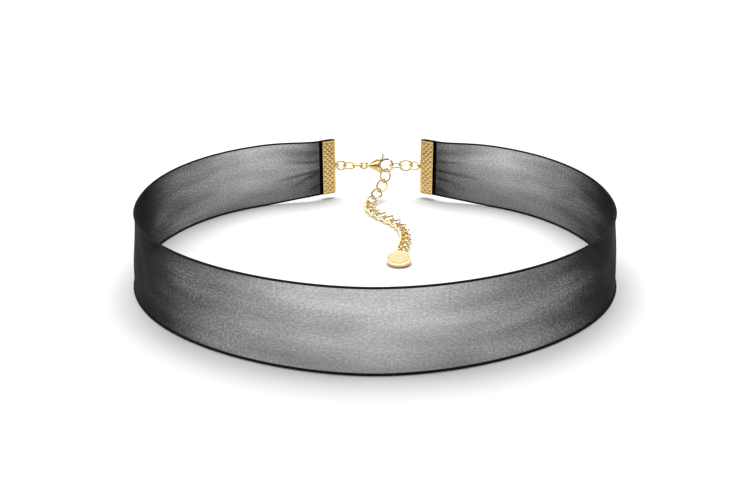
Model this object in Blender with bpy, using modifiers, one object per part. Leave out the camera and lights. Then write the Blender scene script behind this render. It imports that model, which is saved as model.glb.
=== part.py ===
"""Choker necklace: a sheer ribbon band with two knurled end clamps, joined at the back by
small rings and a lobster clasp. An extender chain hangs from the clasp's hook and lies on
the floor inside the loop, with a plain round tag at its end.

Metres, +Z up. The ribbon stands on its lower edge at z = 0 and its front faces -Y.
"""

import math

import bmesh
import bpy
from mathutils import Matrix, Vector

MM = 0.001

# Ribbon band: a rounded loop that is a little more pointed at the front than at the back.
RIBBON_HEIGHT = 20.0 * MM
RIBBON_THICKNESS = 1.0 * MM
HALF_WIDTH = 60.0 * MM
FRONT_DEPTH = 58.5 * MM
BACK_DEPTH = 54.5 * MM
FRONT_ROUNDNESS = 1.88
BACK_ROUNDNESS = 2.36
SIDE_FLARE = 1.85 * MM
RIBBON_STATIONS = 84
RIBBON_ROWS = 10
ROUTE_PROBES = 1440

# The ribbon is drawn narrower and creased where the clamps pinch it.
GATHER_LENGTH = 19.0 * MM
GATHER_RISE = 1.5 * MM
GATHER_DROP = 0.6 * MM
CREASE_DEPTH = 0.75 * MM
CREASE_WIDTH = 2.0 * MM
# Each crease: its height on the ribbon, its depth and its length, as shares of
# RIBBON_HEIGHT, CREASE_DEPTH and GATHER_LENGTH.
CREASE_COLUMNS = ("height", "depth", "length")
CREASES = (
    (0.72, 0.8, 1.37),
    (0.50, -1.0, 2.0),
    (0.24, 0.9, 1.26),
)

# End clamps: knurled sheet folded round the end of the ribbon.
CLAMP_LENGTH = 4.9 * MM
CLAMP_HEIGHT = 17.4 * MM
CLAMP_SHEET = 0.4 * MM
CLAMP_CLEARANCE = 0.2 * MM
CLAMP_TURN = math.radians(15)
CLAMP_BEND = 7.0 * MM
BEND_STEPS = 5
KNURL_DEPTH = 0.16 * MM
KNURL_COLUMNS = 5
KNURL_PITCH = 0.5 * MM
FOLD_COLUMNS = 4
LEFT_LOOP_ROLL = 90
RIGHT_LOOP_ROLL = 128

# Wire rings of the closure, from the left clamp to the clasp and on to the right clamp.
RING_WIRE = 0.52 * MM
WIRE_CLEARANCE = 0.20 * MM
WIRE_LOOP_RADIUS = 0.68 * MM
CHAIN_HEIGHT = 10.55 * MM
RING_STEPS = 12
RING_SIZE = 3.6 * MM
# Each ring: its length and width as shares of RING_SIZE, and its roll about the chain in degrees.
RING_COLUMNS = ("name", "length", "width", "roll")
LEFT_RINGS = (
    ("left_tail_ring", 0.81, 0.67, 15),
    ("left_turned_link", 1.03, 0.69, -68),
    ("left_oval_ring", 1.14, 0.83, 50),
    ("left_clamp_ring", 1.0, 1.0, -10),
)
RIGHT_RINGS = (
    ("right_hook_ring", 1.17, 0.83, 75),
    ("right_large_ring", 1.28, 1.08, 0),
    ("right_clamp_ring", 1.0, 1.0, 52),
)

# Lobster clasp, in its own plane: x runs to the hook, y up, z through its thickness.
CLASP_X = 3.65 * MM
CLASP_ROLL = math.radians(12)
HOOK_RADIUS = 1.97 * MM
HOOK_WIRE = 0.70 * MM
OPENING_RADIUS = HOOK_RADIUS - HOOK_WIRE / 2
OPENING_SHIFT = 0.26 * MM
HOOK_START = math.radians(188)
HOOK_END = math.radians(414)
HOOK_STEPS = 18
EYE_OFFSET = 6.0 * MM
CLASP_FLATNESS = 0.5
BODY_RADIUS = 2.5 * MM
# Each section of the teardrop: its distance behind the hook's centre as a share of EYE_OFFSET,
# and the height of its middle and its radius as shares of BODY_RADIUS.
BODY_COLUMNS = ("back", "height", "radius")
BODY_SECTIONS = (
    (1.0, 0.0, 0.17),
    (0.87, 0.0, 0.29),
    (0.72, 0.01, 0.50),
    (0.55, 0.02, 0.74),
    (0.44, 0.03, 0.90),
    (0.34, 0.03, 0.99),
    (0.28, 0.03, 0.98),
)

# Sprung lever of the clasp, which turns on a pin in the body's slot.
PIVOT = HOOK_RADIUS * Vector((-1.015, 0.787, 0.0))
PIN_RADIUS = 0.20 * MM
PIN_LENGTH = 1.5 * MM
BORE_RADIUS = PIN_RADIUS + 0.08 * MM
LEVER_THICKNESS = 0.58 * MM
LEVER_BOSS = 0.58 * MM
LEVER_CLEARANCE = 0.11 * MM
LEVER_INNER = OPENING_RADIUS + 0.10 * MM
LEVER_OUTER = HOOK_RADIUS + HOOK_WIRE / 2
LEVER_TIP = math.radians(65)
LEVER_ROOT = math.radians(128)
HEEL_ROOM = 0.27 * MM
SLOT_WIDTH = LEVER_THICKNESS + 2 * LEVER_CLEARANCE
SLOT_BACK = PIVOT.x - LEVER_BOSS - HEEL_ROOM
SLOT_FLOOR = PIVOT.y - LEVER_BOSS - LEVER_CLEARANCE
KNOB_RADIUS = 0.40 * MM
KNOB_FOOT = HOOK_RADIUS * Vector((-0.655, 0.863, 0.0))
KNOB_TOP = HOOK_RADIUS * Vector((-0.533, 1.904, 0.0))

# Extender: curb links, each twisted from end to end, laid along one smooth route.
LINK_COUNT = 16
LINK_LENGTH = 4.9 * MM
LINK_WIDTH = 3.6 * MM
LINK_WIRE = 0.50 * MM
LINK_CLEARANCE = 0.30 * MM
LINK_TWIST = math.radians(45)
LINK_STEPS = 14
LINK_LEAN = math.radians(36)
LINK_LIFT = 0.33 * LINK_WIDTH
# The hanging links are turned about the route, so that the first ones clear the hook.
UPPER_LINK_ROLLS = (math.radians(-12), math.radians(-12))
# Places along the route, from the hook: x and y as offsets from the hook's foot, and the
# share of the hook's height above the lying chain.
EXTENDER_ROUTE = (
    (-0.5 * MM, -1.1 * MM, 0.62),
    (-1.8 * MM, -2.9 * MM, 0.31),
    (-3.6 * MM, -5.3 * MM, 0.11),
    (-5.0 * MM, -8.4 * MM, 0.02),
    (-5.5 * MM, -12.0 * MM, 0.0),
    (-4.6 * MM, -16.8 * MM, 0.0),
    (-2.3 * MM, -20.8 * MM, 0.0),
    (0.4 * MM, -24.2 * MM, 0.0),
    (2.8 * MM, -27.8 * MM, 0.0),
    (4.5 * MM, -32.4 * MM, -0.01),
    (5.0 * MM, -37.2 * MM, -0.02),
    (4.8 * MM, -42.0 * MM, -0.02),
    (4.0 * MM, -47.0 * MM, -0.02),
    (3.0 * MM, -54.0 * MM, -0.02),
)
ROUTE_STEPS = 12

# Tag: a plain round disc with a raised rim, leaning on its jump ring.
JUMP_RING_DIAMETER = 3.2 * MM
JUMP_RING_WIRE = 0.40 * MM
TAG_DIAMETER = 6.6 * MM
TAG_THICKNESS = 1.0 * MM
TAG_RIM = 0.45 * MM
TAG_RIM_RISE = 0.12 * MM
TAG_EDGE = 0.25 * MM
TAG_TILT = math.radians(13)
TAG_STEPS = 28
TAG_SEAT = 0.12 * MM
TAG_LOOP_RADIUS = 0.82 * MM
TAG_PULL = 0.12 * MM
FLOOR_CLEARANCE = 0.06 * MM

GOLD = ("gold", (0.80, 0.60, 0.28, 1.0), 0.25, 1.0)
ORGANZA = ("black_organza", (0.02, 0.02, 0.02, 0.6), 0.7, 0.0)


def clear_scene():
    for existing in list(bpy.data.objects):
        bpy.data.objects.remove(existing, do_unlink=True)


def collection(name):
    group = bpy.data.collections.new(name)
    bpy.context.scene.collection.children.link(group)
    return group


def material(name, colour, roughness, metallic):
    finish = bpy.data.materials.new(name)
    finish.use_nodes = True
    shader = finish.node_tree.nodes["Principled BSDF"]
    shader.inputs["Base Color"].default_value = colour
    shader.inputs["Alpha"].default_value = colour[3]
    shader.inputs["Roughness"].default_value = roughness
    shader.inputs["Metallic"].default_value = metallic
    return finish


clear_scene()
PARTS = collection("choker")
CUTTERS = collection("choker_cutters")
GOLD_FINISH = material(*GOLD)
ORGANZA_FINISH = material(*ORGANZA)
ORIGIN = bpy.data.objects.new("choker_origin", None)
PARTS.objects.link(ORIGIN)


def add_part(name, data, finish=GOLD_FINISH, parent=ORIGIN):
    part = bpy.data.objects.new(name, data)
    data.materials.append(finish)
    PARTS.objects.link(part)
    part.parent = parent
    return part


def add_helper(name, data, parent=ORIGIN):
    """A cutter or a soldered piece that a Boolean reads: it is no part of its own."""
    helper = bpy.data.objects.new(name, data)
    CUTTERS.objects.link(helper)
    helper.parent = parent
    helper.hide_render = True
    helper.display_type = "WIRE"
    return helper


def combine(part, helper, operation):
    modifier = part.modifiers.new(helper.name, "BOOLEAN")
    modifier.object = helper
    modifier.operation = operation


def shade(mesh, angle=math.radians(40)):
    mesh.shade_smooth()
    mesh.set_sharp_from_angle(angle=angle)


def wire_data(name, points, radius, cyclic=True, resolution=1, radii=None):
    """A wire through the points, as a curve with a round bevel."""
    curve = bpy.data.curves.new(name, "CURVE")
    curve.dimensions = "3D"
    curve.bevel_depth = radius
    curve.bevel_resolution = resolution
    curve.use_fill_caps = not cyclic
    spline = curve.splines.new("POLY")
    spline.points.add(len(points) - 1)
    for index, point in enumerate(points):
        spline.points[index].co = (*point, 1.0)
        if radii:
            spline.points[index].radius = radii[index] / radius
    spline.use_cyclic_u = cyclic
    return curve


def mesh_of_curve(curve, scale=(1.0, 1.0, 1.0)):
    """The curve's closed mesh, with its caps welded, for pieces that Booleans use."""
    holder = bpy.data.objects.new(curve.name, curve)
    PARTS.objects.link(holder)
    evaluated = holder.evaluated_get(bpy.context.evaluated_depsgraph_get())
    mesh = bpy.data.meshes.new_from_object(evaluated)
    bpy.data.objects.remove(holder, do_unlink=True)
    edit = bmesh.new()
    edit.from_mesh(mesh)
    bmesh.ops.remove_doubles(edit, verts=edit.verts, dist=0.0001 * MM)
    bmesh.ops.scale(edit, vec=Vector(scale), verts=edit.verts)
    bmesh.ops.recalc_face_normals(edit, faces=edit.faces)
    edit.to_mesh(mesh)
    edit.free()
    return mesh


def oval(length, width, points):
    """An oval in the x-y plane with its long way on x, measured to the wire's middle."""
    turns = [2 * math.pi * index / points for index in range(points)]
    return [Vector((length / 2 * math.cos(a), width / 2 * math.sin(a), 0)) for a in turns]


def smooth_step(share):
    share = min(max(share, 0.0), 1.0)
    return share * share * (3 - 2 * share)


# Ribbon band


def plan_point(angle):
    """The ribbon's middle seen from above. The angle runs from the front, positive to +X."""
    back = (1 - math.cos(angle)) / 2
    power = FRONT_ROUNDNESS + (BACK_ROUNDNESS - FRONT_ROUNDNESS) * back
    depth = FRONT_DEPTH if math.cos(angle) > 0 else BACK_DEPTH
    across = (abs(math.sin(angle)) / HALF_WIDTH) ** power
    along = (abs(math.cos(angle)) / depth) ** power
    radius = (across + along) ** (-1 / power)
    return Vector((radius * math.sin(angle), -radius * math.cos(angle)))


def heading(angle, side):
    """The way that the ribbon runs at this angle, towards the clamp on that side."""
    small = 0.001
    step = plan_point(angle + side * small) - plan_point(angle - side * small)
    return math.atan2(step.y, step.x)


def end_of_ribbon(angle, side):
    """The bend before a clamp: its points, the clamp's mouth and the clamp's heading."""
    way = heading(angle, side)
    point = plan_point(angle)
    points = []
    stride = CLAMP_BEND / BEND_STEPS
    for step in range(BEND_STEPS):
        turned = way - side * CLAMP_TURN * smooth_step((step + 0.5) / BEND_STEPS)
        point = point + stride * Vector((math.cos(turned), math.sin(turned)))
        points.append((point, turned))
    return points, point, way - side * CLAMP_TURN


def clamp_reach(angle, side):
    _, mouth, way = end_of_ribbon(angle, side)
    return mouth.x + CLAMP_LENGTH * math.cos(way)


def angle_for_clamp(edge_x, side):
    """The angle where the bend starts, so that the clamp's fold comes out at edge_x."""
    low, high = math.pi / 2, math.pi
    for _ in range(40):
        middle = (low + high) / 2
        if abs(clamp_reach(side * middle, side)) > abs(edge_x):
            low = middle
        else:
            high = middle
    return side * (low + high) / 2


class Station:
    """One place along the ribbon: its middle, its outward way and its distance to a clamp."""

    def __init__(self, point, way, angle, to_clamp):
        self.point = point
        self.outward = Vector((math.sin(way), -math.cos(way)))
        self.to_clamp = to_clamp
        self.flare = SIDE_FLARE * math.sin(angle) ** 2 * (1 - self.gather())

    def gather(self):
        return smooth_step(1 - self.to_clamp / GATHER_LENGTH)

    def crease(self, height_share):
        """How far the folds that start at the clamp push the cloth out of its plane."""
        push = 0.0
        for row in CREASES:
            crease = dict(zip(CREASE_COLUMNS, row))
            along = self.to_clamp / (GATHER_LENGTH * crease["length"])
            grown = smooth_step(self.to_clamp / (CLAMP_BEND + CLAMP_LENGTH))
            across = (height_share - crease["height"]) * RIBBON_HEIGHT / CREASE_WIDTH
            fade = smooth_step(1 - along)
            push += CREASE_DEPTH * crease["depth"] * grown * fade * math.exp(-across**2)
        return push

    def place(self, height_share, side):
        gather = self.gather()
        low = GATHER_RISE * gather
        high = RIBBON_HEIGHT - GATHER_DROP * gather
        out = self.flare * (1 - height_share) + self.crease(height_share)
        out += (side - 0.5) * RIBBON_THICKNESS
        flat = self.point + out * self.outward
        return Vector((flat.x, flat.y, low + (high - low) * height_share))


def ribbon_stations(left_edge, right_edge):
    """Stations from inside the left clamp, round the front, to inside the right clamp."""
    start, finish = angle_for_clamp(left_edge, -1), angle_for_clamp(right_edge, 1)
    probes = [start + (finish - start) * n / ROUTE_PROBES for n in range(ROUTE_PROBES + 1)]
    lengths = [0.0]
    for before, after in zip(probes, probes[1:]):
        lengths.append(lengths[-1] + (plan_point(after) - plan_point(before)).length)
    stations = []
    probe = 0
    for number in range(RIBBON_STATIONS + 1):
        wanted = lengths[-1] * number / RIBBON_STATIONS
        while probe < ROUTE_PROBES and lengths[probe] < wanted:
            probe += 1
        angle = probes[probe]
        to_clamp = min(lengths[probe], lengths[-1] - lengths[probe]) + CLAMP_BEND
        stations.append(Station(plan_point(angle), heading(angle, 1), angle, to_clamp))
    for side, angle in ((-1, start), (1, finish)):
        points, mouth, way = end_of_ribbon(angle, side)
        ends = []
        for step, (point, turned) in enumerate(points):
            left_over = CLAMP_BEND * (1 - (step + 1) / BEND_STEPS)
            ends.append(Station(point, turned if side > 0 else turned + math.pi, angle, left_over))
        held = CLAMP_LENGTH - plate_offset() - CLAMP_SHEET / 2 - CLAMP_CLEARANCE
        tail = mouth + held * Vector((math.cos(way), math.sin(way)))
        ends.append(Station(tail, way if side > 0 else way + math.pi, angle, 0.0))
        stations = stations + ends if side > 0 else ends[::-1] + stations
    return stations


def wrapped_sheet(name, columns, rows, place):
    """A flat sheet of cells with a thickness, bent into its shape by place(column, row, side)."""
    edit = bmesh.new()
    bmesh.ops.create_grid(edit, x_segments=columns, y_segments=rows, size=1)
    for vert in edit.verts:
        vert.co.x = round((vert.co.x + 1) / 2 * columns)
        vert.co.y = round((vert.co.y + 1) / 2 * rows)
    grown = bmesh.ops.extrude_face_region(edit, geom=edit.faces[:], use_keep_orig=True)
    for item in grown["geom"]:
        if isinstance(item, bmesh.types.BMVert):
            item.co.z = 1
    for vert in edit.verts:
        vert.co = place(round(vert.co.x), round(vert.co.y), round(vert.co.z))
    bmesh.ops.recalc_face_normals(edit, faces=edit.faces)
    mesh = bpy.data.meshes.new(name)
    edit.to_mesh(mesh)
    edit.free()
    return mesh


def build_ribbon(left_edge, right_edge):
    stations = ribbon_stations(left_edge, right_edge)

    def place(column, row, side):
        return stations[column].place(row / RIBBON_ROWS, side)

    mesh = wrapped_sheet("ribbon", len(stations) - 1, RIBBON_ROWS, place)
    shade(mesh)
    add_part("ribbon", mesh, ORGANZA_FINISH)


# End clamps


def plate_offset():
    """From the ribbon's middle to the middle of the clamp's sheet."""
    return RIBBON_THICKNESS / 2 + CLAMP_CLEARANCE + CLAMP_SHEET / 2


def fold_profile():
    """The folded sheet seen from above: place, outward way and whether it is knurled."""
    offset = plate_offset()
    straight = CLAMP_LENGTH - offset - CLAMP_SHEET / 2
    stations = []
    for column in range(KNURL_COLUMNS + 1):
        along = straight * column / KNURL_COLUMNS
        stations.append((Vector((along, offset)), Vector((0, 1)), 0 < column))
    for column in range(1, FOLD_COLUMNS):
        turn = math.pi / 2 - math.pi * column / FOLD_COLUMNS
        way = Vector((math.cos(turn), math.sin(turn)))
        stations.append((Vector((straight, 0)) + offset * way, way, False))
    for place, way, knurled in stations[KNURL_COLUMNS::-1]:
        stations.append((Vector((place.x, -place.y)), -way, knurled))
    return stations


def build_clamp(name, side, edge_x, loop_roll):
    """One clamp, with the wire loop that is soldered to its fold."""
    angle = angle_for_clamp(edge_x, side)
    _, mouth, way = end_of_ribbon(angle, side)
    profile = fold_profile()
    rows = round(CLAMP_HEIGHT / KNURL_PITCH)
    middle = (GATHER_RISE + RIBBON_HEIGHT - GATHER_DROP) / 2
    foot = middle - CLAMP_HEIGHT / 2
    along = Vector((math.cos(way), math.sin(way)))
    across = Vector((-along.y, along.x))

    def place(column, row, layer):
        spot, out, knurled = profile[column]
        raised = knurled and 0 < row < rows and (column + row) % 2 == 0
        push = (layer - 0.5) * CLAMP_SHEET + (KNURL_DEPTH if raised else 0.0)
        spot = spot + push * out
        flat = mouth + spot.x * along + spot.y * across
        return Vector((flat.x, flat.y, foot + CLAMP_HEIGHT * row / rows))

    mesh = wrapped_sheet(name, len(profile) - 1, rows, place)
    clamp = add_part(name, mesh)
    fold = mouth + CLAMP_LENGTH * along
    centre = Vector((edge_x + loop_reach(side), fold.y, CHAIN_HEIGHT))
    ring = oval(2 * WIRE_LOOP_RADIUS, 2 * WIRE_LOOP_RADIUS, RING_STEPS)
    circle = [centre + rolled(loop_roll) @ point for point in ring]
    loop = mesh_of_curve(wire_data(name + "_loop", circle, RING_WIRE / 2))
    combine(clamp, add_helper(name + "_loop", loop), "UNION")
    return centre


def loop_reach(side):
    """From the clamp's fold to the middle of its wire loop, which is half sunk in the fold."""
    return -side * (WIRE_LOOP_RADIUS - RING_WIRE / 2)


# Rings of the closure


def rolled(degrees):
    """Turns a flat ring about the chain's way: at 0 it stands up, at 90 it lies flat."""
    return Matrix.Rotation(math.pi / 2 - math.radians(degrees), 3, "X")


def lay_rings(rings, start_x, direction, clearance):
    """Hooks each ring into the one before it, and returns the middles and the last wire's x."""
    places = []
    wire_x = start_x
    for row in rings:
        ring = dict(zip(RING_COLUMNS, row))
        length = RING_SIZE * ring["length"]
        near = wire_x - direction * (RING_WIRE + clearance)
        middle = near + direction * (length - RING_WIRE) / 2
        places.append((ring["name"], middle, length, RING_SIZE * ring["width"], ring["roll"]))
        wire_x = near + direction * (length - RING_WIRE)
        clearance = WIRE_CLEARANCE
    return places, wire_x


def build_rings(places, chain_y):
    for name, middle, length, width, roll in places:
        points = oval(length - RING_WIRE, width - RING_WIRE, RING_STEPS)
        wire = wire_data(name, [rolled(roll) @ p for p in points], RING_WIRE / 2)
        ring = add_part(name, wire)
        ring.location = (middle, chain_y, CHAIN_HEIGHT)


# Lobster clasp


def arc(centre, radius, start, end, steps):
    turns = [start + (end - start) * n / steps for n in range(steps + 1)]
    return [centre + radius * Vector((math.cos(a), math.sin(a), 0)) for a in turns]


def cylinder(name, radius, length, sides, centre):
    edit = bmesh.new()
    bmesh.ops.create_cone(
        edit, cap_ends=True, segments=sides, radius1=radius, radius2=radius, depth=length
    )
    bmesh.ops.translate(edit, vec=centre, verts=edit.verts)
    mesh = bpy.data.meshes.new(name)
    edit.to_mesh(mesh)
    edit.free()
    return mesh


def build_clasp_body(frame):
    """Teardrop body with the hook, the eye at its tip and the pin, all one casting."""
    sections = [dict(zip(BODY_COLUMNS, row)) for row in BODY_SECTIONS]
    middles = [
        Vector((-EYE_OFFSET * section["back"], BODY_RADIUS * section["height"], 0))
        for section in sections
    ]
    radii = [BODY_RADIUS * section["radius"] for section in sections]
    blank = wire_data("clasp_body", middles, radii[-1], False, 11, radii)
    body = add_part("clasp_body", mesh_of_curve(blank, (1, 1, CLASP_FLATNESS)), parent=frame)
    depth = 6 * radii[-1]
    shift = Vector((-OPENING_SHIFT, 0, 0))
    opening = cylinder("clasp_opening", OPENING_RADIUS, depth, 24, shift)
    combine(body, add_helper("clasp_opening", opening, frame), "DIFFERENCE")
    slot = bmesh.new()
    bmesh.ops.create_cube(slot, size=1)
    height = LEVER_OUTER + KNOB_RADIUS
    bmesh.ops.scale(slot, vec=Vector((-SLOT_BACK, height, SLOT_WIDTH)), verts=slot.verts)
    centre = Vector((SLOT_BACK / 2, SLOT_FLOOR + height / 2, 0))
    bmesh.ops.translate(slot, vec=centre, verts=slot.verts)
    slot_mesh = bpy.data.meshes.new("clasp_slot")
    slot.to_mesh(slot_mesh)
    slot.free()
    combine(body, add_helper("clasp_slot", slot_mesh, frame), "DIFFERENCE")
    hook_route = arc(Vector(), HOOK_RADIUS, HOOK_START, HOOK_END, HOOK_STEPS)
    hook = mesh_of_curve(wire_data("clasp_hook", hook_route, HOOK_WIRE / 2, False, 2))
    combine(body, add_helper("clasp_hook", hook, frame), "UNION")
    ring = oval(2 * WIRE_LOOP_RADIUS, 2 * WIRE_LOOP_RADIUS, RING_STEPS)
    flat = Matrix.Rotation(math.pi / 2 - CLASP_ROLL, 3, "X")
    eye_middle = Vector((-EYE_OFFSET, 0, 0))
    eye = mesh_of_curve(wire_data("clasp_eye", [flat @ p + eye_middle for p in ring], RING_WIRE / 2))
    eye_hole = cylinder("clasp_eye_hole", WIRE_LOOP_RADIUS - RING_WIRE / 2, depth, 12, Vector())
    hole = add_helper("clasp_eye_hole", eye_hole, frame)
    hole.matrix_local = Matrix.Translation(eye_middle) @ flat.to_4x4()
    combine(body, hole, "DIFFERENCE")
    combine(body, add_helper("clasp_eye", eye, frame), "UNION")
    pin = cylinder("clasp_pin", PIN_RADIUS, PIN_LENGTH, 12, PIVOT)
    combine(body, add_helper("clasp_pin", pin, frame), "UNION")


def lever_outline():
    """The lever seen from the front, measured from its pivot."""
    centre = -PIVOT
    tongue_out = arc(centre, LEVER_OUTER, LEVER_TIP, LEVER_ROOT, 8)
    boss = arc(Vector(), LEVER_BOSS, math.radians(110), math.radians(300), 8)
    tongue_in = arc(centre, LEVER_INNER, math.radians(140), LEVER_TIP, 9)
    return tongue_out + boss + tongue_in


def build_clasp_lever(frame):
    """Flat lever with a bored boss, a tongue that closes the hook and a thumb knob."""
    outline = bpy.data.curves.new("clasp_lever", "CURVE")
    outline.dimensions = "2D"
    outline.fill_mode = "BOTH"
    outline.extrude = LEVER_THICKNESS / 2
    bore = arc(Vector(), BORE_RADIUS, 0, 2 * math.pi * 11 / 12, 11)
    for points in (lever_outline(), bore):
        spline = outline.splines.new("POLY")
        spline.points.add(len(points) - 1)
        for index, point in enumerate(points):
            spline.points[index].co = (*point, 1.0)
        spline.use_cyclic_u = True
    lever = add_part("clasp_lever", mesh_of_curve(outline), parent=frame)
    lever.location = PIVOT
    stem_points = [KNOB_FOOT - PIVOT, (KNOB_FOOT + 2 * KNOB_TOP) / 3 - PIVOT, KNOB_TOP - PIVOT]
    radii = (0.6 * KNOB_RADIUS, 0.6 * KNOB_RADIUS, KNOB_RADIUS)
    knob = mesh_of_curve(wire_data("lever_knob", stem_points, KNOB_RADIUS, False, 3, radii))
    helper = add_helper("lever_knob", knob, frame)
    helper.location = PIVOT
    combine(lever, helper, "UNION")


def build_clasp(chain_y):
    frame = bpy.data.objects.new("clasp_frame", None)
    PARTS.objects.link(frame)
    frame.parent = ORIGIN
    frame.location = (CLASP_X, chain_y, CHAIN_HEIGHT)
    frame.rotation_euler = (math.pi / 2 - CLASP_ROLL, 0, 0)
    build_clasp_body(frame)
    build_clasp_lever(frame)


# Extender chain and tag


def smooth_route(points):
    """A Catmull-Rom curve through the points."""
    padded = [2 * points[0] - points[1], *points, 2 * points[-1] - points[-2]]
    route = []
    for a, b, c, d in zip(padded, padded[1:], padded[2:], padded[3:]):
        for step in range(ROUTE_STEPS):
            t = step / ROUTE_STEPS
            bend = 2 * b + t * (c - a) + t**2 * (2 * a - 5 * b + 4 * c - d)
            route.append((bend + t**3 * (3 * b - a - 3 * c + d)) / 2)
    return route + [points[-1]]


def walk(route, pitch, count):
    """Points one pitch apart along the route, from its first point."""
    found = [route[0]]
    for before, after in zip(route, route[1:]):
        while (after - found[-1]).length >= pitch and len(found) <= count:
            low, high = 0.0, 1.0
            for _ in range(30):
                middle = (low + high) / 2
                reached = (before.lerp(after, middle) - found[-1]).length >= pitch
                low, high = (low, middle) if reached else (middle, high)
            found.append(before.lerp(after, high))
    return found


def curb_link(length, width, twist):
    """A link's wire, twisted about its long way so that the next link can pass through."""
    points = []
    for flat in oval(length, width, LINK_STEPS):
        turn = twist * flat.x / (length / 2)
        points.append(Vector((flat.x, flat.y * math.cos(turn), flat.y * math.sin(turn))))
    return points


def chain_frame(way, roll=0.0):
    """Axes of a link: x along the chain, z as near as it can be to the leaning upward way."""
    lean = Vector((0, -math.sin(LINK_LEAN), math.cos(LINK_LEAN)))
    up = (lean - lean.dot(way) * way).normalized()
    side = up.cross(way)
    axes = Matrix((way, side, up)).transposed()
    return axes @ Matrix.Rotation(roll, 3, "X")


def build_extender(chain_y):
    """Hooks the links one into another along the route, and returns the last wire and its way."""
    pitch = LINK_LENGTH - 2 * LINK_WIRE - LINK_CLEARANCE
    drop = HOOK_RADIUS - (HOOK_WIRE + LINK_WIRE) / 2 - LINK_CLEARANCE
    to_foot = rolled(math.degrees(CLASP_ROLL)) @ Vector((0, -drop, 0))
    hook = Vector((CLASP_X, chain_y, CHAIN_HEIGHT)) + to_foot
    fall = hook.z - LINK_LIFT
    places = [Vector((hook.x + x, hook.y + y, LINK_LIFT + fall * z)) for x, y, z in EXTENDER_ROUTE]
    joints = walk(smooth_route([hook, *places]), pitch, LINK_COUNT)
    shape = curb_link(LINK_LENGTH - LINK_WIRE, LINK_WIDTH - LINK_WIRE, LINK_TWIST)
    for number, (start, end) in enumerate(zip(joints, joints[1:])):
        way = (end - start).normalized()
        roll = UPPER_LINK_ROLLS[number] if number < len(UPPER_LINK_ROLLS) else 0.0
        axes = chain_frame(way, roll)
        name = f"extender_link_{number + 1:02d}"
        link = add_part(name, wire_data(name, [axes @ p for p in shape], LINK_WIRE / 2))
        link.location = start + way * (LINK_LENGTH - LINK_WIRE) / 2
    last_wire = start + way * (LINK_LENGTH - LINK_WIRE)
    return last_wire, way


def build_jump_ring(last_wire, way):
    """Ring that stands in the last link and carries the tag."""
    way = Vector((way.x, way.y, 0)).normalized()
    side = Vector((0, 0, 1)).cross(way)
    nest = (LINK_WIRE + JUMP_RING_WIRE) / 2 + 2 * LINK_CLEARANCE
    radius = (JUMP_RING_DIAMETER - JUMP_RING_WIRE) / 2
    ring_height = radius + JUMP_RING_WIRE / 2 + FLOOR_CLEARANCE
    reach = math.sqrt(radius**2 - (last_wire.z - ring_height) ** 2) - nest
    centre = Vector((*(last_wire + reach * way).xy, ring_height))
    upright = Matrix((way, Vector((0, 0, 1)), -side)).transposed()
    circle = [upright @ p for p in oval(2 * radius, 2 * radius, RING_STEPS)]
    ring = add_part("tag_jump_ring", wire_data("tag_jump_ring", circle, JUMP_RING_WIRE / 2))
    ring.location = centre
    return centre, radius, way, side


def tag_mesh():
    """Half of the disc's section, from the middle of its face round the rim to its back."""
    face = TAG_THICKNESS / 2
    edge = TAG_DIAMETER / 2
    outline = (
        (0.0, face),
        (edge - TAG_RIM - TAG_EDGE, face),
        (edge - TAG_RIM, face + TAG_RIM_RISE),
        (edge - TAG_EDGE, face + TAG_RIM_RISE),
        (edge, face - TAG_EDGE),
        (edge, TAG_EDGE - face),
        (edge - TAG_EDGE, -face),
        (0.0, -face),
    )
    profile = bmesh.new()
    verts = [profile.verts.new((across, 0, height)) for across, height in outline]
    for before, after in zip(verts, verts[1:]):
        profile.edges.new((before, after))
    mesh = bpy.data.meshes.new("tag")
    profile.to_mesh(mesh)
    profile.free()
    return mesh


def build_tag(ring_centre, ring_radius, way, side):
    """Round tag with its soldered loop: its near edge is on the floor, its loop on the ring."""
    tag = add_part("tag", tag_mesh())
    turned = tag.modifiers.new("turned", "SCREW")
    turned.steps = TAG_STEPS
    turned.render_steps = TAG_STEPS
    turned.use_merge_vertices = True
    turned.merge_threshold = 0.01 * MM
    down = Matrix.Rotation(TAG_TILT, 3, side) @ way
    edge = TAG_DIAMETER / 2
    height = edge * math.sin(TAG_TILT) + TAG_THICKNESS / 2 * math.cos(TAG_TILT) + FLOOR_CLEARANCE
    to_loop = edge + TAG_LOOP_RADIUS - TAG_SEAT
    loop_height = height + to_loop * math.sin(TAG_TILT)
    to_ring = math.sqrt(ring_radius**2 - (loop_height - ring_centre.z) ** 2)
    reach = to_ring + to_loop * math.cos(TAG_TILT) + TAG_PULL
    tag.location = Vector((*(ring_centre + reach * way).xy, height))
    axes = Matrix((down, side, down.cross(side))).transposed()
    tag.rotation_euler = axes.to_euler()
    middle = Vector((-to_loop, 0, 0))
    circle = [p + middle for p in oval(2 * TAG_LOOP_RADIUS, 2 * TAG_LOOP_RADIUS, RING_STEPS)]
    bail = add_helper("tag_bail", mesh_of_curve(wire_data("tag_bail", circle, JUMP_RING_WIRE / 2)))
    bail.location = tag.location
    bail.rotation_euler = tag.rotation_euler
    combine(tag, bail, "UNION")


def centre_on_origin():
    """Moves the whole choker so that the middle of its box's base is the origin."""
    bpy.context.view_layer.update()
    graph = bpy.context.evaluated_depsgraph_get()
    corners = []
    for part in PARTS.objects:
        if part.type == "EMPTY":
            continue
        evaluated = part.evaluated_get(graph)
        mesh = evaluated.to_mesh()
        corners += [evaluated.matrix_world @ vert.co for vert in mesh.vertices]
        evaluated.to_mesh_clear()
    for axis in (0, 1):
        values = [corner[axis] for corner in corners]
        ORIGIN.location[axis] = -(min(values) + max(values)) / 2


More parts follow.
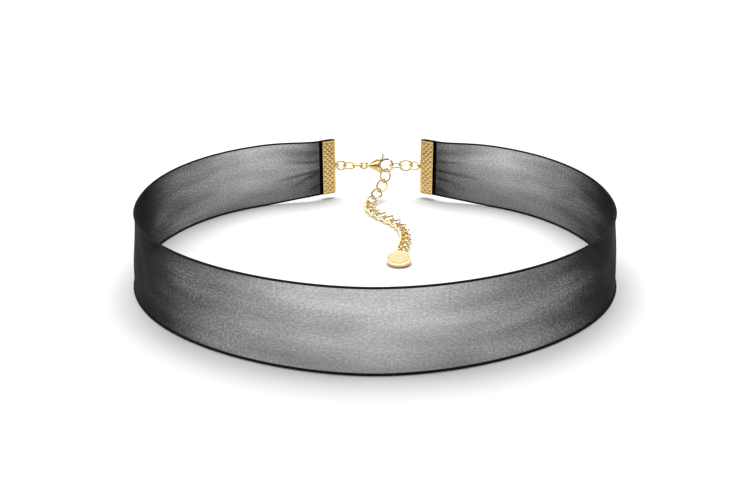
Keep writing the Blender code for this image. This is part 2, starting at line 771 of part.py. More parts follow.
def build_choker():
    eye_wire = CLASP_X - EYE_OFFSET - WIRE_LOOP_RADIUS
    left, left_wire = lay_rings(LEFT_RINGS, eye_wire, -1, WIRE_CLEARANCE)
    hook_wire = CLASP_X + HOOK_RADIUS
    hook_clearance = WIRE_CLEARANCE + (HOOK_WIRE - RING_WIRE) / 2
    right, right_wire = lay_rings(RIGHT_RINGS, hook_wire, 1, hook_clearance)
    nest = RING_WIRE + WIRE_CLEARANCE
    left_edge = left_wire + nest - WIRE_LOOP_RADIUS - loop_reach(-1)
    right_edge = right_wire - nest + WIRE_LOOP_RADIUS - loop_reach(1)
    build_ribbon(left_edge, right_edge)
    left_loop = build_clamp("clamp_left", -1, left_edge, LEFT_LOOP_ROLL)
    right_loop = build_clamp("clamp_right", 1, right_edge, RIGHT_LOOP_ROLL)
    chain_y = (left_loop.y + right_loop.y) / 2
    build_rings(left + right, chain_y)
    build_clasp(chain_y)
    last_wire, way = build_extender(chain_y)
    build_tag(*build_jump_ring(last_wire, way))
    centre_on_origin()


build_choker()
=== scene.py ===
import math

import bmesh
import bpy
import numpy as np
from mathutils import Matrix, Vector


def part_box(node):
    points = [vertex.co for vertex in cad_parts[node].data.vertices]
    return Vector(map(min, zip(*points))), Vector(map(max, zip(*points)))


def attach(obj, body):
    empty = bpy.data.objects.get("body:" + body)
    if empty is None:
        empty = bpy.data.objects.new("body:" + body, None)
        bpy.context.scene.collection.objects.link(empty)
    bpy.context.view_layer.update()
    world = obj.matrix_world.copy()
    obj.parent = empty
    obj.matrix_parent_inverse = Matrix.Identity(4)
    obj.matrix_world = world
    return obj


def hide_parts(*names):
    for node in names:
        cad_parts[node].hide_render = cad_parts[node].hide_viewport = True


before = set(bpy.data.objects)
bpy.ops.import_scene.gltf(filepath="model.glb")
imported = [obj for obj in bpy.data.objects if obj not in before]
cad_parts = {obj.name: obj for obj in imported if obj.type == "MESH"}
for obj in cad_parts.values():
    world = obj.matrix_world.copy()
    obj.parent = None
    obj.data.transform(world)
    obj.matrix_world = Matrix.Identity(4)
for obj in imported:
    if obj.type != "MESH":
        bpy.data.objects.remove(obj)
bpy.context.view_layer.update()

MM = 0.001


# Ribbon band: one length of black organza, 20 mm wide and woven from single fine threads.
# It stands on its lower edge. Each end is gathered into its clamp, and the gathers run out
# along the band as soft folds.
RIBBON_COLUMNS = 700
RIBBON_ROWS = 48
EDGE_RADIUS = 0.28 * MM
HEM_LENGTH = 0.5 * MM
WAVE_COLUMNS = ("length", "depth", "slant")
WAVES = (
    (31.0, 0.12, 1.2),
    (17.0, 0.08, -2.0),
    (9.5, 0.04, 2.7),
)
FOLD_COLUMNS = ("side", "start", "finish", "length", "width", "depth")
FOLDS = (
    # the heights are shares of the band's width, the lengths and widths are mm
    (-1, 0.63, 0.68, 15.0, 0.26, 0.45),
    (-1, 0.46, 0.30, 19.0, 0.28, -0.60),
    (-1, 0.42, 0.10, 13.0, 0.36, 0.50),
    (-1, 0.20, -0.02, 7.0, 0.40, -0.45),
    (-1, 0.80, 0.90, 24.0, 0.90, -0.30),
    (1, 0.64, 0.67, 14.0, 0.24, 0.45),
    (1, 0.47, 0.38, 20.0, 0.28, -0.60),
    (1, 0.33, 0.20, 12.0, 0.32, 0.50),
    (1, 0.14, 0.02, 8.0, 0.40, -0.40),
    (1, 0.82, 0.88, 22.0, 0.90, -0.30),
)
FOLD_LEAD = 2
FOLD_BEND = 1.5
FOLD_SPREAD = 1.6
CREASE_LEAD = 1.0
CREASE_RUN = 3.5
PUSH_RUN = 5.0
CREASE_GAIN = 1.5
SLANT_TO_PHASE = 3
EDGE_STIFFNESS = 0.7
WAVE_RUN = 12 * MM
WAVE_AT_FRONT = 0.35


def smooth_step(share):
    share = min(max(share, 0.0), 1.0)
    return share * share * (3 - 2 * share)


def rim_middles(upward):
    """Middles of the band's thickness along its upper or lower rim, from the left clamp round
    the front to the right one, each with the way that faces out of the loop."""
    band = bmesh.new()
    band.from_mesh(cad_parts["ribbon"].data)
    bmesh.ops.remove_doubles(band, verts=band.verts, dist=0.001 * MM)
    band.normal_update()
    rim_faces = [face for face in band.faces if face.normal.z * upward > 0.7]
    corners = {corner for face in rim_faces for corner in face.verts}
    middles = []
    for corner in corners:
        others = [other for other in corners if other is not corner]
        partner = min(others, key=lambda other: (other.co - corner.co).length)
        if corner.co.xy.length > partner.co.xy.length:
            outward = (corner.co - partner.co).normalized()
            middles.append(((corner.co + partner.co) / 2, outward))
    band.free()
    return sorted(middles, key=lambda item: math.atan2(item[0].x, -item[0].y))


lower_rim, upper_rim = rim_middles(-1), rim_middles(1)
rim_lengths = [0.0]
for before, after in zip(upper_rim, upper_rim[1:]):
    rim_lengths.append(rim_lengths[-1] + (after[0] - before[0]).length)
ribbon_length = rim_lengths[-1]
tail_length = rim_lengths[1]
RIBBON_WIDTH = max(middle.z for middle, _ in upper_rim) - min(middle.z for middle, _ in lower_rim)


def between(rim, along):
    """The rim's middle and outward way at a share of the band's length, on a smooth curve."""
    wanted = along * ribbon_length
    index = int(np.searchsorted(rim_lengths, wanted, side="right")) - 1
    index = min(max(index, 0), len(rim) - 2)
    t = (wanted - rim_lengths[index]) / (rim_lengths[index + 1] - rim_lengths[index])
    a, b, c, d = (rim[min(max(index + n, 0), len(rim) - 1)] for n in (-1, 0, 1, 2))
    bend = 2 * b[0] + t * (c[0] - a[0]) + t**2 * (2 * a[0] - 5 * b[0] + 4 * c[0] - d[0])
    place = (bend + t**3 * (3 * b[0] - a[0] - 3 * c[0] + d[0])) / 2
    return place, b[1].lerp(c[1], t).normalized()


def fold_at(along, height):
    """How far the gathers push the cloth out of its plane, and how sharply it is folded."""
    push = crease = 0.0
    for row in FOLDS:
        fold = dict(zip(FOLD_COLUMNS, row))
        from_end = along if fold["side"] < 0 else 1 - along
        distance = (from_end * ribbon_length - tail_length) / MM
        if distance < -FOLD_LEAD or distance > fold["length"]:
            continue
        run = min(max(distance / fold["length"], 0.0), 1.0)
        middle = fold["start"] + (fold["finish"] - fold["start"]) * run ** FOLD_BEND
        spread = fold["width"] * (1 + FOLD_SPREAD * run)
        across = (height - middle) * RIBBON_WIDTH / MM / spread
        grown = smooth_step((distance + CREASE_LEAD) / CREASE_RUN)
        ridge = grown * (1 - smooth_step(run)) * math.exp(-across * across)
        push += fold["depth"] * MM * ridge * smooth_step(distance / PUSH_RUN)
        crease += abs(fold["depth"]) * ridge
    return push, min(crease * CREASE_GAIN, 1.0)


def wave_at(along, height):
    """Soft lengthwise waves, deepest at the sides of the loop where the band is pulled round."""
    distance = along * ribbon_length / MM
    push = 0.0
    for row in WAVES:
        wave = dict(zip(WAVE_COLUMNS, row))
        slant = wave["slant"] * height * SLANT_TO_PHASE
        push += wave["depth"] * math.sin(2 * math.pi * distance / wave["length"] + slant)
    free = math.sin(math.pi * min(max(height, 0.0), 1.0)) ** EDGE_STIFFNESS
    from_mouth = min(along, 1 - along) * ribbon_length - tail_length
    clear_of_clamp = smooth_step(from_mouth / WAVE_RUN)
    side = WAVE_AT_FRONT + (1 - WAVE_AT_FRONT) * math.sin(2 * math.pi * along) ** 2
    return push * MM * free * clear_of_clamp * side


def on_cloth(along, height):
    """A point of the cloth, and how sharply it is creased there."""
    low, outward = between(lower_rim, along)
    high, _ = between(upper_rim, along)
    low = low + Vector((0, 0, EDGE_RADIUS))
    high = high - Vector((0, 0, EDGE_RADIUS))
    push, crease = fold_at(along, height)
    place = low.lerp(high, height) + (push + wave_at(along, height)) * outward
    return place, crease


bpy.ops.object.select_all(action="DESELECT")
bpy.ops.mesh.primitive_grid_add(x_subdivisions=RIBBON_COLUMNS, y_subdivisions=RIBBON_ROWS, size=1)
organza_band = bpy.context.object
organza_band.name = "organza_band"
cloth = organza_band.data
cloth.uv_layers[0].name = "cloth"
creases = cloth.attributes.new("crease", "FLOAT", "POINT")
for vertex in cloth.vertices:
    along, height = vertex.co.x + 0.5, vertex.co.y + 0.5
    place, crease = on_cloth(along, height)
    vertex.co = place
    creases.data[vertex.index].value = crease
cloth.update()
bpy.ops.object.shade_smooth()


class Channel:
    """A value inside a finish. Sums on it add Math nodes to that finish."""

    def __init__(self, finish, socket):
        self.finish = finish
        self.socket = socket

    def maths(self, operation, *others):
        values = {index + 1: other for index, other in enumerate(others)}
        return self.finish.add("ShaderNodeMath", {"operation": operation}, {0: self, **values})

    def __add__(self, other):
        return self.maths("ADD", other)

    __radd__ = __add__

    def __sub__(self, other):
        return self.maths("SUBTRACT", other)

    def __rsub__(self, other):
        return self * -1 + other

    def __mul__(self, other):
        return self.maths("MULTIPLY", other)

    def sine(self):
        return self.maths("SINE")

    def smooth(self, low, high):
        """0 below the first value, 1 above the second, with a soft step between them."""
        settings = {"interpolation_type": "SMOOTHSTEP"}
        return self.finish.add("ShaderNodeMapRange", settings, {0: self, 1: low, 2: high})


class Finish:
    """A material in the making: its shader, and the nodes that vary it over the surface."""

    def __init__(self, name, **constants):
        self.material = bpy.data.materials.new(name)
        self.material.use_nodes = True
        self.tree = self.material.node_tree
        self.shader = self.tree.nodes["Principled BSDF"]
        for socket, value in constants.items():
            self.shader.inputs[socket.replace("_", " ")].default_value = value

    def add(self, kind, settings=None, values=None, output=0):
        node = self.tree.nodes.new(kind)
        for name, setting in (settings or {}).items():
            if name == "stops":
                for place, colour in setting[2:]:
                    node.color_ramp.elements.new(place)
                for element, (place, colour) in zip(node.color_ramp.elements, sorted(setting)):
                    element.position = place
                    element.color = (*colour, 1.0)
            else:
                setattr(node, name, setting)
        for name, value in (values or {}).items():
            if isinstance(value, Channel):
                self.tree.links.new(value.socket, node.inputs[name])
            else:
                node.inputs[name].default_value = value
        return Channel(self, node.outputs[output])

    def feed(self, socket, value):
        self.tree.links.new(value.socket, self.shader.inputs[socket])

    def blend(self, factor, first, second):
        """A colour between two others, by a value that varies over the surface."""
        values = {"Factor": factor, 6: (*first, 1), 7: (*second, 1)}
        return self.add("ShaderNodeMix", {"data_type": "RGBA"}, values, 2)

    def bump(self, height, distance, strength):
        values = {"Height": height, "Distance": distance, "Strength": strength}
        self.feed("Normal", self.add("ShaderNodeBump", {}, values))


# The organza's look: black threads with clear gaps between them. The loop is made densest at
# its sides, where the band is seen edge-on: this is painted shade for the darker look of sheer
# cloth seen at a slant, not a denser weave. Folds are drawn partly as doubled cloth and partly
# as painted fold shadow, and hems lie in several layers.
THREAD_PITCH = 0.33
organza = Finish("black_organza_weave", Roughness=0.6, Specular_IOR_Level=0.03)
uv = organza.add("ShaderNodeUVMap", {"uv_map": "cloth"})
along = organza.add("ShaderNodeSeparateXYZ", {}, {0: uv}, "X")
height = organza.add("ShaderNodeSeparateXYZ", {}, {0: uv}, "Y")
turn = 2 * math.pi / THREAD_PITCH
weft = (along * (ribbon_length / MM * turn)).sine() * 0.5 + 0.5
warp = (height * (RIBBON_WIDTH / MM * turn)).sine() * 0.5 + 0.5
weave = weft * 0.5 + warp * 0.5
# lengthwise streaks in the density: partly the cloth's random unevenness and partly painted shade of
# soft wrinkles
STREAK_LIE = {"Scale": (15.0, 4.0, 1.0), "Rotation": (0, 0, 0.03)}
STREAK_NOISE = {"Scale": 1.0, "Detail": 3.0, "Roughness": 0.5}
stretched = organza.add("ShaderNodeMapping", {}, {0: uv, **STREAK_LIE})
streaks = organza.add("ShaderNodeTexNoise", {}, {"Vector": stretched, **STREAK_NOISE})
fine = organza.add("ShaderNodeMapping", {}, {0: uv, "Scale": (520.0, 48.0, 1.0)})
slubs = organza.add("ShaderNodeTexNoise", {}, {"Vector": fine, "Scale": 1.0, "Detail": 2.0})
DENSITY_STEP = 6.0
# the high densities at the sides are painted shade for cloth seen edge-on; near the clamps the
# gathered cloth is denser in truth
DENSITIES = (
    # place along the band from one end to the front, in mm, and the cloth's density there
    (4.0, 2.7),
    (9.0, 1.7),
    (16.0, 1.25),
    (27.0, 1.05),
    (37.0, 1.25),
    (48.0, 1.8),
    (57.0, 2.4),
    (67.0, 3.6),
    (77.0, 5.8),
    (103.0, 5.8),
    (115.0, 3.7),
    (125.0, 2.35),
    (135.0, 1.65),
    (146.0, 1.2),
    (158.0, 0.95),
    (171.0, 0.84),
)
half_length = ribbon_length / 2 / MM
from_clamp = (along - 0.5).maths("ABSOLUTE") * -2.0 + 1.0
stops = [(place / half_length, (density / DENSITY_STEP,) * 3) for place, density in DENSITIES]
density = organza.add("ShaderNodeValToRGB", {"stops": stops}, {0: from_clamp}) * DENSITY_STEP
crease = organza.add("ShaderNodeAttribute", {"attribute_name": "crease"}, {}, "Fac")
HEM_BLUR = 0.3
hem_start = (tail_length + HEM_LENGTH * (1 - HEM_BLUR)) / MM / half_length
hem_end = (tail_length + HEM_LENGTH * (1 + HEM_BLUR)) / MM / half_length
hem = 1 - from_clamp.smooth(hem_start, hem_end)
# shares of the way from a clamp to the front, between which the ends and the front fade
ENDS_FADE = (0.16, 0.36)
FRONT_FADE = (0.78, 0.92)
# added density near the lower edge at the ends and the front, painted shade for the shadowed
# floor seen through the cloth there, and near the upper one between
SHADE_LOW_AT_ENDS = 1.1
SHADE_LOW_AT_FRONT = 0.6
UPPER_AT_SIDES = 0.5
STREAKINESS = 1.0
SLUBBINESS = 1.3
WEAVE_CONTRAST = 0.3
# fold lines are partly doubled cloth and partly painted fold shadow
CREASE_LAYER_AND_SHADE = 1.6
HEM_DENSITY = 7
ends = 1 - from_clamp.smooth(*ENDS_FADE)
front = from_clamp.smooth(*FRONT_FADE)
# painted shade: the cloth darkens towards its lower edge, as over shadowed floor
lower = (1 - height) * (1 - height) * (ends * SHADE_LOW_AT_ENDS + front * SHADE_LOW_AT_FRONT)
upper = height * height * (1 - ends) * (1 - front) * UPPER_AT_SIDES
patchy = (streaks - 0.5) * STREAKINESS + (slubs - 0.5) * SLUBBINESS
uneven = patchy + (weave - 0.5) * WEAVE_CONTRAST
layers = density * (1 + uneven) + lower + upper + crease * CREASE_LAYER_AND_SHADE + hem * HEM_DENSITY
organza.feed("Alpha", 1 - (layers * -1).maths("EXPONENT"))
tone = organza.blend(slubs, (0.002, 0.002, 0.002), (0.006, 0.006, 0.006))
organza.feed("Base Color", tone)
organza.bump(weave * 0.5 + slubs, 0.00008, 0.4)
cloth.materials.append(organza.material)
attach(organza_band, "choker")

# Selvedges: the band's two long edges, where the threads are packed into a narrow black
# cord. They follow the same folds and waves as the cloth between them.
EDGE_STEPS = RIBBON_COLUMNS // 2
selvedges = []


def select_only(*pieces):
    """Selects these pieces and nothing else, and makes the last of them active."""
    bpy.ops.object.select_all(action="DESELECT")
    for piece in pieces:
        piece.select_set(True)
    bpy.context.view_layer.objects.active = pieces[-1]


for name, height_share in (("selvedge_lower", 0.0), ("selvedge_upper", 1.0)):
    path = bpy.data.curves.new(name, "CURVE")
    path.dimensions = "3D"
    path.bevel_depth = EDGE_RADIUS
    path.bevel_resolution = 2
    path.use_fill_caps = True
    spline = path.splines.new("POLY")
    spline.points.add(EDGE_STEPS)
    for index, point in enumerate(spline.points):
        place, _ = on_cloth(index / EDGE_STEPS, height_share)
        point.co = (*place, 1.0)
    edge = bpy.data.objects.new(name, path)
    bpy.context.scene.collection.objects.link(edge)
    select_only(edge)
    bpy.ops.object.convert(target="MESH")
    edge = bpy.context.object
    bpy.ops.object.mode_set(mode="EDIT")
    bpy.ops.mesh.select_all(action="SELECT")
    bpy.ops.mesh.remove_doubles(threshold=0.001 * MM)
    bpy.ops.object.mode_set(mode="OBJECT")
    bpy.ops.object.shade_smooth()
    selvedges.append(edge)

selvedge = Finish("black_selvedge", Roughness=0.6, Specular_IOR_Level=0.08)
place = selvedge.add("ShaderNodeTexCoord", {}, {}, "Object")
threads = selvedge.add("ShaderNodeTexNoise", {}, {"Vector": place, "Scale": 2600.0, "Detail": 2.0})
shade = selvedge.blend(threads, (0.003, 0.003, 0.003), (0.012, 0.012, 0.012))
selvedge.feed("Base Color", shade)
selvedge.bump(threads, 0.00006, 0.5)
for edge in selvedges:
    edge.data.materials.append(selvedge.material)
    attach(edge, "choker")
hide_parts("ribbon")


# End clamps: thin brass sheet folded over each end of the band and pressed flat. A diamond
# knurl is rolled into both faces, with a plain margin all round, and a wire loop is soldered
# into the fold. These sizes are millimetres.
CLAMP_LENGTH = 4.9
SHEET = 0.4
GRIP = 1.4
MARGIN = 0.24
KNURL_ACROSS = 0.80
KNURL_UP = 0.80
KNURL_RELIEF = 0.12
CORNER = 1.0
CLAMP_COLUMNS_PER_MM = 9
CLAMP_ROWS = 156
LOOP_RADIUS = 0.68
RING_WIRE = 0.60
KNURL_FLATS = 1.15
KNURL_FADE = 0.15
CORNER_DROP = 0.9
SHEET_LIFT = 0.06
CLAMP_ROUNDING = 0.09

gold = Finish("pale_gold_plate", Metallic=1.0, Specular_IOR_Level=0.5)
place = gold.add("ShaderNodeTexCoord", {}, {}, "Object")
cloudy = gold.add("ShaderNodeTexNoise", {}, {"Vector": place, "Scale": 420.0, "Detail": 3.0})
SCUFF_NOISE = {"Scale": 3600.0, "Detail": 4.0, "Roughness": 0.65}
scuffs = gold.add("ShaderNodeTexNoise", {}, {"Vector": place, **SCUFF_NOISE})
metal = gold.blend(cloudy.smooth(0.3, 0.7), (0.69, 0.485, 0.195), (0.80, 0.585, 0.255))
gold.feed("Base Color", metal)
gold.feed("Roughness", cloudy * 0.10 + scuffs * 0.12 + 0.12)
gold.bump(scuffs + cloudy * 2, 0.00002, 0.35)

ring_line = sum(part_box("right_large_ring"), Vector()) / 2


def bring_to_place(piece, matrix):
    """Scales a piece made in millimetres, puts it in its place and applies that to its mesh."""
    piece.matrix_world = matrix @ Matrix.Scale(MM, 4)
    select_only(piece)
    bpy.ops.object.transform_apply(location=True, rotation=True, scale=True)


def wire_oval(name, length, width, wire, segments=16, twist=0.0):
    """A soldered oval of round wire, its long way on X, with an even twist from end to end."""
    bpy.ops.object.select_all(action="DESELECT")
    bpy.ops.curve.primitive_bezier_circle_add(radius=0.5)
    oval = bpy.context.object
    oval.name = name
    bpy.ops.object.mode_set(mode="EDIT")
    bpy.ops.curve.select_all(action="SELECT")
    bpy.ops.transform.resize(value=(length - wire, width - wire, 1))
    bpy.ops.object.mode_set(mode="OBJECT")
    oval.data.resolution_u = segments
    oval.data.bevel_depth = wire / 2
    oval.data.bevel_resolution = 3
    bpy.ops.object.convert(target="MESH")
    oval = bpy.context.object
    if twist:
        turned = oval.modifiers.new("twist", "SIMPLE_DEFORM")
        turned.deform_method = "TWIST"
        turned.deform_axis = "X"
        turned.angle = twist
        bpy.ops.object.modifier_apply(modifier=turned.name)
    bpy.ops.object.shade_smooth()
    return oval


def finish_piece(piece, slot, material, body, *nodes):
    piece.data.materials.clear()
    piece.data.materials.append(material)
    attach(piece, body)
    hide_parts(*nodes)


def clamp_profile(step):
    """A point of the folded sheet seen from above, its outward way and how far it is along."""
    bend = (GRIP + SHEET) / 2
    straight = CLAMP_LENGTH - bend - SHEET / 2
    arc = math.pi * bend
    if step < straight:
        return Vector((step, bend)), Vector((0, 1)), step, straight
    if step > straight + arc:
        rest = 2 * straight + arc - step
        return Vector((rest, -bend)), Vector((0, -1)), rest, straight
    turn = (step - straight) / bend
    way = Vector((math.sin(turn), math.cos(turn)))
    return Vector((straight, 0)) + bend * way, way, straight + bend * math.sin(turn), straight


def knurl_at(run, rise, straight, tall):
    """Depth of the rolled pits, which stop short of the margins."""
    inside = min(run - MARGIN, straight - run, rise - MARGIN, tall - MARGIN - rise)
    if inside <= 0:
        return 0.0
    one = abs(math.sin(math.pi * (run / KNURL_ACROSS + rise / KNURL_UP) / 2))
    other = abs(math.sin(math.pi * (run / KNURL_ACROSS - rise / KNURL_UP) / 2))
    return KNURL_RELIEF * smooth_step(min(one, other) * KNURL_FLATS) * smooth_step(inside / KNURL_FADE)


def face_outward():
    """Turns the faces of the active mesh to point out of it."""
    bpy.ops.object.mode_set(mode="EDIT")
    bpy.ops.mesh.select_all(action="SELECT")
    bpy.ops.mesh.normals_make_consistent(inside=False)
    bpy.ops.object.mode_set(mode="OBJECT")


def build_clamp(name, node, mouth, tail, side):
    """A folded sheet on one end of the band, made in millimetres and then brought there."""
    low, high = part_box(node)
    tall = (high.z - low.z) / MM
    along = (tail - mouth).xy.normalized()
    across = Vector((-along.y, along.x)) * side
    bend = (GRIP + SHEET) / 2
    total = 2 * (CLAMP_LENGTH - bend - SHEET / 2) + math.pi * bend
    columns = round(total * CLAMP_COLUMNS_PER_MM)
    bpy.ops.object.select_all(action="DESELECT")
    bpy.ops.mesh.primitive_grid_add(x_subdivisions=columns, y_subdivisions=CLAMP_ROWS, size=1)
    clamp = bpy.context.object
    clamp.name = name
    for vertex in clamp.data.vertices:
        step = (vertex.co.x + 0.5) * total
        rise = (vertex.co.y + 0.5) * tall
        spot, way, run, straight = clamp_profile(step)
        from_fold = max(CLAMP_LENGTH - SHEET / 2 - run, 0.0)
        cut = CORNER - math.sqrt(max(CORNER**2 - max(CORNER - from_fold, 0.0) ** 2, 0.0))
        low_end = cut * CORNER_DROP
        rise = low_end + rise * (tall - low_end) / tall
        face = SHEET / 2 + SHEET_LIFT - knurl_at(run, rise, straight, tall)
        spot = spot + face * way
        vertex.co = (spot.x, spot.y, rise)
    walls = clamp.modifiers.new("sheet", "SOLIDIFY")
    walls.thickness = SHEET
    walls.offset = 1
    bpy.ops.object.modifier_apply(modifier=walls.name)
    clamp.data.update()
    face_outward()
    rounding = clamp.modifiers.new("rounding", "BEVEL")
    rounding.width = CLAMP_ROUNDING
    rounding.segments = 2
    rounding.limit_method = "ANGLE"
    rounding.angle_limit = math.radians(60)
    bpy.ops.object.modifier_apply(modifier=rounding.name)
    bpy.ops.object.shade_smooth()
    axes = Matrix((along.to_3d(), across.to_3d(), Vector((0, 0, 1)))).transposed().to_4x4()
    bring_to_place(clamp, Matrix.Translation((mouth.x, mouth.y, low.z)) @ axes)
    if side < 0:
        face_outward()
    return clamp


def clamp_loop(name, side, roll):
    """The wire loop in the fold, rolled about the closure's line."""
    low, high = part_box("clamp_left" if side < 0 else "clamp_right")
    reach = (LOOP_RADIUS + RING_WIRE / 2) * MM
    middle = high.x - reach if side < 0 else low.x + reach
    loop = wire_oval(name, 2 * LOOP_RADIUS + RING_WIRE, 2 * LOOP_RADIUS + RING_WIRE, RING_WIRE, 8)
    turned = Matrix.Rotation(math.pi / 2 - math.radians(roll), 4, "X")
    bring_to_place(loop, Matrix.Translation((middle, ring_line.y, ring_line.z)) @ turned)
    return loop


CLAMPS = (
    ("knurled_clamp_left", "clamp_left", upper_rim[1][0], upper_rim[0][0], -1, 90),
    ("knurled_clamp_right", "clamp_right", upper_rim[-2][0], upper_rim[-1][0], 1, 128),
)
for name, node, mouth, tail, side, roll in CLAMPS:
    clamp = build_clamp(name, node, mouth, tail, side)
    loop = clamp_loop(name + "_loop", side, roll)
    select_only(loop, clamp)
    bpy.ops.object.join()
    finish_piece(clamp, "gold", gold.material, "choker", node)


# Closure rings: round brass wire bent into rings and ovals and soldered shut. Each lies
# hooked in the one before it, from the left clamp to the clasp's eye and from its hook to
# the right clamp.
RING_COLUMNS = ("node", "length", "width")
RINGS = (
    ("left_clamp_ring", 3.6, 3.6),
    ("left_oval_ring", 4.1, 3.0),
    ("left_turned_link", 3.7, 2.5),
    ("left_tail_ring", 2.9, 2.4),
    ("right_hook_ring", 4.2, 3.0),
    ("right_large_ring", 4.6, 3.9),
    ("right_clamp_ring", 3.6, 3.6),
)


def lie_of(node):
    """Where a piece lies: its middle, with axes from its longest way to its thinnest."""
    corners = np.array([vertex.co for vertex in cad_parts[node].data.vertices])
    corners = np.unique(np.round(corners, 7), axis=0)
    middle = corners.mean(axis=0)
    _, _, ways = np.linalg.svd(corners - middle, full_matrices=False)
    longest, middling = Vector(ways[0]), Vector(ways[1])
    axes = Matrix((longest, middling, longest.cross(middling))).transposed().to_4x4()
    return Matrix.Translation(middle) @ axes


for row in RINGS:
    ring = dict(zip(RING_COLUMNS, row))
    piece = wire_oval(ring["node"] + "_wire", ring["length"], ring["width"], RING_WIRE)
    bring_to_place(piece, lie_of(ring["node"]))
    finish_piece(piece, "gold", gold.material, "choker", ring["node"])


# Extender chain: curb links. Each is an oval of wire that is twisted so that it lies flat
# against its neighbours, and all are alike.
LINK_LENGTH = 4.9
LINK_WIDTH = 3.6
LINK_WIRE = 0.58
LINK_TWIST = math.radians(90)
link_nodes = sorted(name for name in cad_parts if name.startswith("extender_link"))
pattern_link = wire_oval("curb_link_pattern", LINK_LENGTH, LINK_WIDTH, LINK_WIRE, 16, LINK_TWIST)
for node in link_nodes:
    link = bpy.data.objects.new(node.replace("extender", "curb"), pattern_link.data.copy())
    bpy.context.scene.collection.objects.link(link)
    bring_to_place(link, lie_of(node))
    finish_piece(link, "gold", gold.material, "choker", node)
bpy.data.objects.remove(pattern_link, do_unlink=True)


# Lobster clasp: a cast teardrop body with its hook and eye, and a flat sprung lever on a
# pin, which closes the hook. Both castings are tumbled, so that their edges are soft.
CASTINGS = (
    ("clasp_casting", "clasp_body", "choker", 0.045, 14),
    ("clasp_gate", "clasp_lever", "clasp_lever", 0.04, 6),
)
for name, node, body, voxel, passes in CASTINGS:
    casting = bpy.data.objects.new(name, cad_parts[node].data.copy())
    bpy.context.scene.collection.objects.link(casting)
    select_only(casting)
    bpy.ops.object.mode_set(mode="EDIT")
    bpy.ops.mesh.select_all(action="SELECT")
    bpy.ops.mesh.remove_doubles(threshold=0.0005 * MM)
    bpy.ops.transform.resize(value=(1 / MM,) * 3, center_override=(0, 0, 0))
    bpy.ops.object.mode_set(mode="OBJECT")
    solid = casting.modifiers.new("cast", "REMESH")
    solid.mode = "VOXEL"
    solid.voxel_size = voxel
    bpy.ops.object.modifier_apply(modifier=solid.name)
    tumbled = casting.modifiers.new("tumbled", "SMOOTH")
    tumbled.factor = 0.5
    tumbled.iterations = passes
    bpy.ops.object.modifier_apply(modifier=tumbled.name)
    bpy.ops.object.shade_smooth()
    bring_to_place(casting, Matrix.Identity(4))
    finish_piece(casting, "gold", gold.material, body, node)


# Tag: a round stamped disc with a raised polished rim and a fine brushed face, hung by its
# soldered loop on a jump ring. Its face is bare.
TAG_DIAMETER = 6.6
TAG_THICKNESS = 1.0
TAG_RIM = 0.42
TAG_RELIEF = 0.14
TAG_LOOP = 0.82
TAG_SEAT = 0.12
JUMP_RING = 3.2
JUMP_WIRE = 0.44
RIM_SLOPE = 0.12
FACE_BORDER = 0.9
TAG_ROUNDING = 0.07
BRUSHING_GAP = 0.1

jump_ring = wire_oval("jump_ring_wire", JUMP_RING, JUMP_RING, JUMP_WIRE)
bring_to_place(jump_ring, lie_of("tag_jump_ring"))
finish_piece(jump_ring, "gold", gold.material, "choker", "tag_jump_ring")

tag_axes = lie_of("tag")
away = tag_axes.col[0].xyz
ring_middle = sum(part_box("tag_jump_ring"), Vector()) / 2
if away.dot(tag_axes.translation - ring_middle) < 0:
    away = -away
facing = tag_axes.col[2].xyz
facing = facing if facing.z > 0 else -facing
solid_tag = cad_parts["tag"].data
flat_faces = [face for face in solid_tag.polygons if face.normal.dot(facing) > 0.95]
facing = sum((face.normal * face.area for face in flat_faces), Vector()).normalized()
away = (away - away.dot(facing) * facing).normalized()
across = facing.cross(away)
points = [vertex.co for vertex in solid_tag.vertices]
far_edge = max(point.dot(away) for point in points)
sideways = sorted(point.dot(across) for point in points)
disc_points = [point for point in points if far_edge - point.dot(away) < TAG_DIAMETER * MM]
back_face = min(point.dot(facing) for point in disc_points)
disc_middle = (
    away * (far_edge - TAG_DIAMETER / 2 * MM)
    + across * (sideways[0] + sideways[-1]) / 2
    + facing * (back_face + TAG_THICKNESS / 2 * MM)
)
bpy.ops.object.select_all(action="DESELECT")
bpy.ops.mesh.primitive_cylinder_add(vertices=96, radius=TAG_DIAMETER / 2, depth=TAG_THICKNESS)
disc = bpy.context.object
disc.name = "plain_round_tag"
bpy.ops.object.mode_set(mode="EDIT")
bpy.ops.mesh.select_all(action="DESELECT")
edit = bmesh.from_edit_mesh(disc.data)
bpy.ops.mesh.select_mode(type="FACE")
for face in edit.faces:
    face.select_set(abs(face.normal.z) > 0.9)
bmesh.update_edit_mesh(disc.data)
bpy.ops.mesh.inset(thickness=TAG_RIM)
bpy.ops.mesh.inset(thickness=RIM_SLOPE, depth=-TAG_RELIEF)
bpy.ops.mesh.inset(thickness=FACE_BORDER)
bpy.ops.object.mode_set(mode="OBJECT")
soft_edges = disc.modifiers.new("soft_edges", "BEVEL")
soft_edges.width = TAG_ROUNDING
soft_edges.segments = 3
soft_edges.limit_method = "ANGLE"
soft_edges.angle_limit = math.radians(35)
bpy.ops.object.modifier_apply(modifier=soft_edges.name)
bpy.ops.object.shade_smooth()
bail = wire_oval("tag_bail", 2 * TAG_LOOP + JUMP_WIRE, 2 * TAG_LOOP + JUMP_WIRE, JUMP_WIRE, 12)
bail.location = (-(TAG_DIAMETER / 2 + TAG_LOOP - TAG_SEAT), 0, 0)
bpy.ops.object.transform_apply(location=True, rotation=False, scale=False)
select_only(bail, disc)
bpy.ops.object.join()
axes = Matrix((away, across, facing)).transposed().to_4x4()
bring_to_place(disc, Matrix.Translation(disc_middle) @ axes)

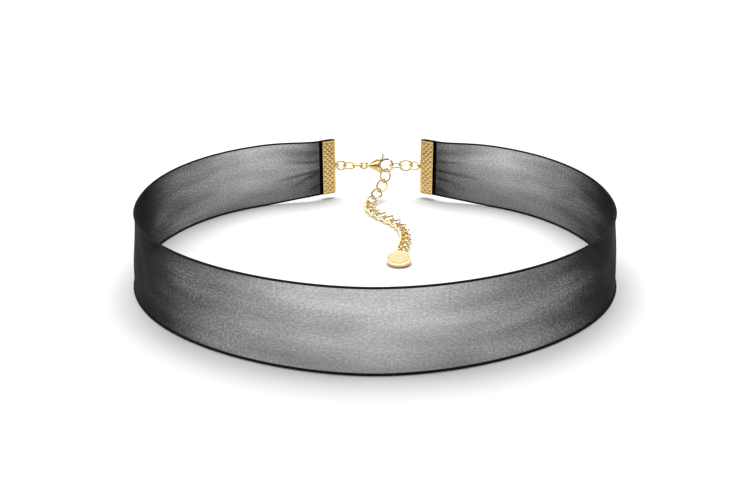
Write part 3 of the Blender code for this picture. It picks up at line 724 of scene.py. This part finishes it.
brushed = Finish("brushed_gold_face_painted_shade", Metallic=1.0, Specular_IOR_Level=0.5)
place = brushed.add("ShaderNodeTexCoord", {}, {}, "Object")
BRUSH_LIE = {"Scale": (900.0, 6000.0, 900.0), "Rotation": (0, 0, 0.5)}
drawn = brushed.add("ShaderNodeMapping", {}, {0: place, **BRUSH_LIE})
lines = brushed.add("ShaderNodeTexNoise", {}, {"Vector": drawn, "Scale": 1.0, "Detail": 3.0})
cloudy = brushed.add("ShaderNodeTexNoise", {}, {"Vector": place, "Scale": 500.0, "Detail": 2.0})
# the face's gold is darkened well below the polished gold: painted shade that holds down the bright
# reflection of the overhead light, besides the brushing
metal = brushed.blend(cloudy, (0.31, 0.255, 0.15), (0.38, 0.315, 0.19))
brushed.feed("Base Color", metal)
brushed.feed("Roughness", lines * 0.14 + 0.38)
brushed.bump(lines, 0.00002, 0.4)
finish_piece(disc, "gold", gold.material, "choker", "tag")
disc.data.materials.append(brushed.material)
face_radius = (TAG_DIAMETER / 2 - TAG_RIM - BRUSHING_GAP) * MM
for polygon in disc.data.polygons:
    offset = polygon.center - disc_middle
    flat = offset - offset.dot(facing) * facing
    if abs(polygon.normal.dot(facing)) > 0.9 and flat.length < face_radius:
        polygon.material_index = 1


# Studio: a plain pale table top, one large soft light overhead and behind, a small weak one
# at the front left, and an even pale room.
PAPER_WHITE = 0.82
ROOM_STRENGTH = 0.36
bpy.ops.object.select_all(action="DESELECT")
bpy.ops.mesh.primitive_plane_add(size=6.0, location=(0, 0, -0.00005))
table_top = bpy.context.object
table_top.name = "table_top"
paper = Finish("white_paper", Roughness=0.7, Specular_IOR_Level=0.2)
paper.shader.inputs["Base Color"].default_value = (PAPER_WHITE, PAPER_WHITE, PAPER_WHITE, 1)
table_top.data.materials.append(paper.material)

SOFTBOX_COLUMNS = ("name", "place", "aim", "width", "length", "power")
SOFTBOXES = (
    ("overhead", (0.0, 0.34, 0.95), (0.0, 0.0, 0.0), 1.10, 0.85, 15.7),
    ("front_left", (-0.60, -0.62, 0.55), (0.0, 0.0, 0.0), 0.45, 0.35, 1.7),
)
for row in SOFTBOXES:
    box = dict(zip(SOFTBOX_COLUMNS, row))
    lamp = bpy.data.lights.new("softbox_" + box["name"], "AREA")
    lamp.shape = "RECTANGLE"
    lamp.size, lamp.size_y = box["width"], box["length"]
    lamp.energy = box["power"]
    softbox = bpy.data.objects.new(lamp.name, lamp)
    softbox.location = box["place"]
    toward = Vector(box["aim"]) - softbox.location
    softbox.rotation_euler = toward.to_track_quat("-Z", "Y").to_euler()
    bpy.context.scene.collection.objects.link(softbox)

room = bpy.data.worlds.new("pale_room")
room.use_nodes = True
background = room.node_tree.nodes["Background"]
background.inputs["Color"].default_value = (0.9, 0.92, 0.95, 1)
background.inputs["Strength"].default_value = ROOM_STRENGTH
bpy.context.scene.world = room
bpy.context.scene.view_settings.view_transform = "Standard"

# Camera: a 43 mm lens at the photo's height and angle. It looks down on the closed choker
# from in front, with the closure at the back.
CAMERA_LENS = 43.2
CAMERA_PITCH = math.radians(21.88)
CAMERA_HEIGHT = 92.7 * MM
CAMERA_DISTANCE = 219.8 * MM
camera = bpy.data.cameras.new("camera")
camera.lens = CAMERA_LENS
camera.sensor_width = 36.0
camera.clip_start = 0.01
viewer = bpy.data.objects.new("camera", camera)
viewer.location = (0, -CAMERA_DISTANCE, CAMERA_HEIGHT)
viewer.rotation_euler = (math.pi / 2 - CAMERA_PITCH, 0, 0)
bpy.context.scene.collection.objects.link(viewer)
bpy.context.scene.camera = viewer
